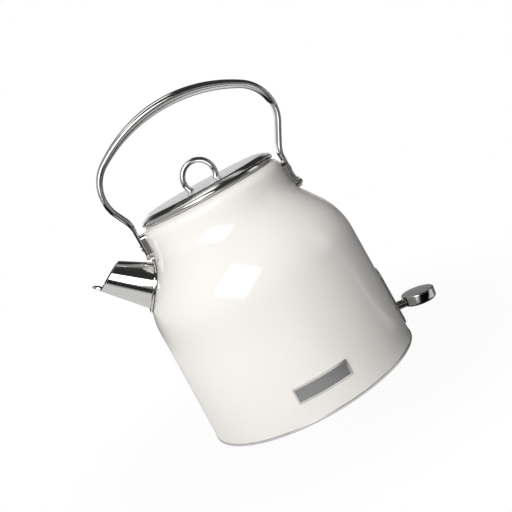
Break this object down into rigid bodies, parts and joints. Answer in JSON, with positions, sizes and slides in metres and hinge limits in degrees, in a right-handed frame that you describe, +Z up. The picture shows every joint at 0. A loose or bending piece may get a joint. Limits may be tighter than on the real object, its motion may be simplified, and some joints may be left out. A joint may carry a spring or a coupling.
{
  "type": "electric kettle",
  "caption": "Cream enamelled electric kettle with an arched steel handle over the lid, a short conical spout, a ring-topped lift-off lid and a round steel switch paddle.",
  "frame": {"origin": "centre of the standing rim, on the surface it stands on", "axes": "+Z up through the lid, -X towards the spout, +X towards the switch, -Y towards the badge plate"},
  "size_m": [0.2381, 0.1775, 0.2552],
  "materials": {
    "cream_enamel": "smooth gloss enamel, warm cream white",
    "polished_steel": "mirror polished stainless steel",
    "inner_steel": "plain drawn stainless steel",
    "black_moulding": "fine-grained heat-resistant moulding",
    "silicone": "soft food-safe silicone",
    "spreader_alloy": "as-rolled aluminium",
    "element_sheath": "dull annealed sheath",
    "contact_brass": "bright contact brass",
    "snap_metal": "rolled two-metal strip"
  },
  "bodies": {
    "kettle": {"body_shell": "cream_enamel", "base_trim_ring": "polished_steel", "base_cover": "black_moulding", "base_posts": "inner_steel", "base_screws": "inner_steel", "heating_pan": "inner_steel", "heat_spreader": "spreader_alloy", "heating_element": "element_sheath", "control_housing": "black_moulding", "control_screws": "inner_steel", "dry_boil_discs": "snap_metal", "connector_pin": "contact_brass", "connector_rings": "contact_brass", "steam_tube": "inner_steel", "steam_tube_grommet": "silicone", "steam_disc": "snap_metal", "switch_bracket": "black_moulding", "pivot_pin": "inner_steel", "detent_spring": "inner_steel", "switch_plate": "polished_steel", "badge_plate": "polished_steel", "spout": "polished_steel", "spout_seal": "silicone", "spout_strainer": "inner_steel", "handle": "polished_steel", "front_saddle": "polished_steel", "rear_saddle": "polished_steel", "handle_screws": "polished_steel", "handle_washers": "silicone", "handle_nuts": "inner_steel"},
    "lid": {"lid_cover": "polished_steel", "lid_plug": "inner_steel", "lid_seal": "silicone", "lid_ring": "polished_steel", "lid_ring_nuts": "inner_steel"},
    "switch": {"switch_lever": "polished_steel", "switch_paddle": "polished_steel"}
  },
  "joints": [
    {"name": "lid_lift", "type": "slide", "parent": "kettle", "child": "lid", "axis": [0, 0, 1], "range_m": [0, 0.03]},
    {"name": "switch_tilt", "type": "hinge", "parent": "kettle", "child": "switch", "pos_m": [0.074, 0, 0.0206], "axis": [0, 1, 0], "range_deg": [0, 10]}
  ]
}
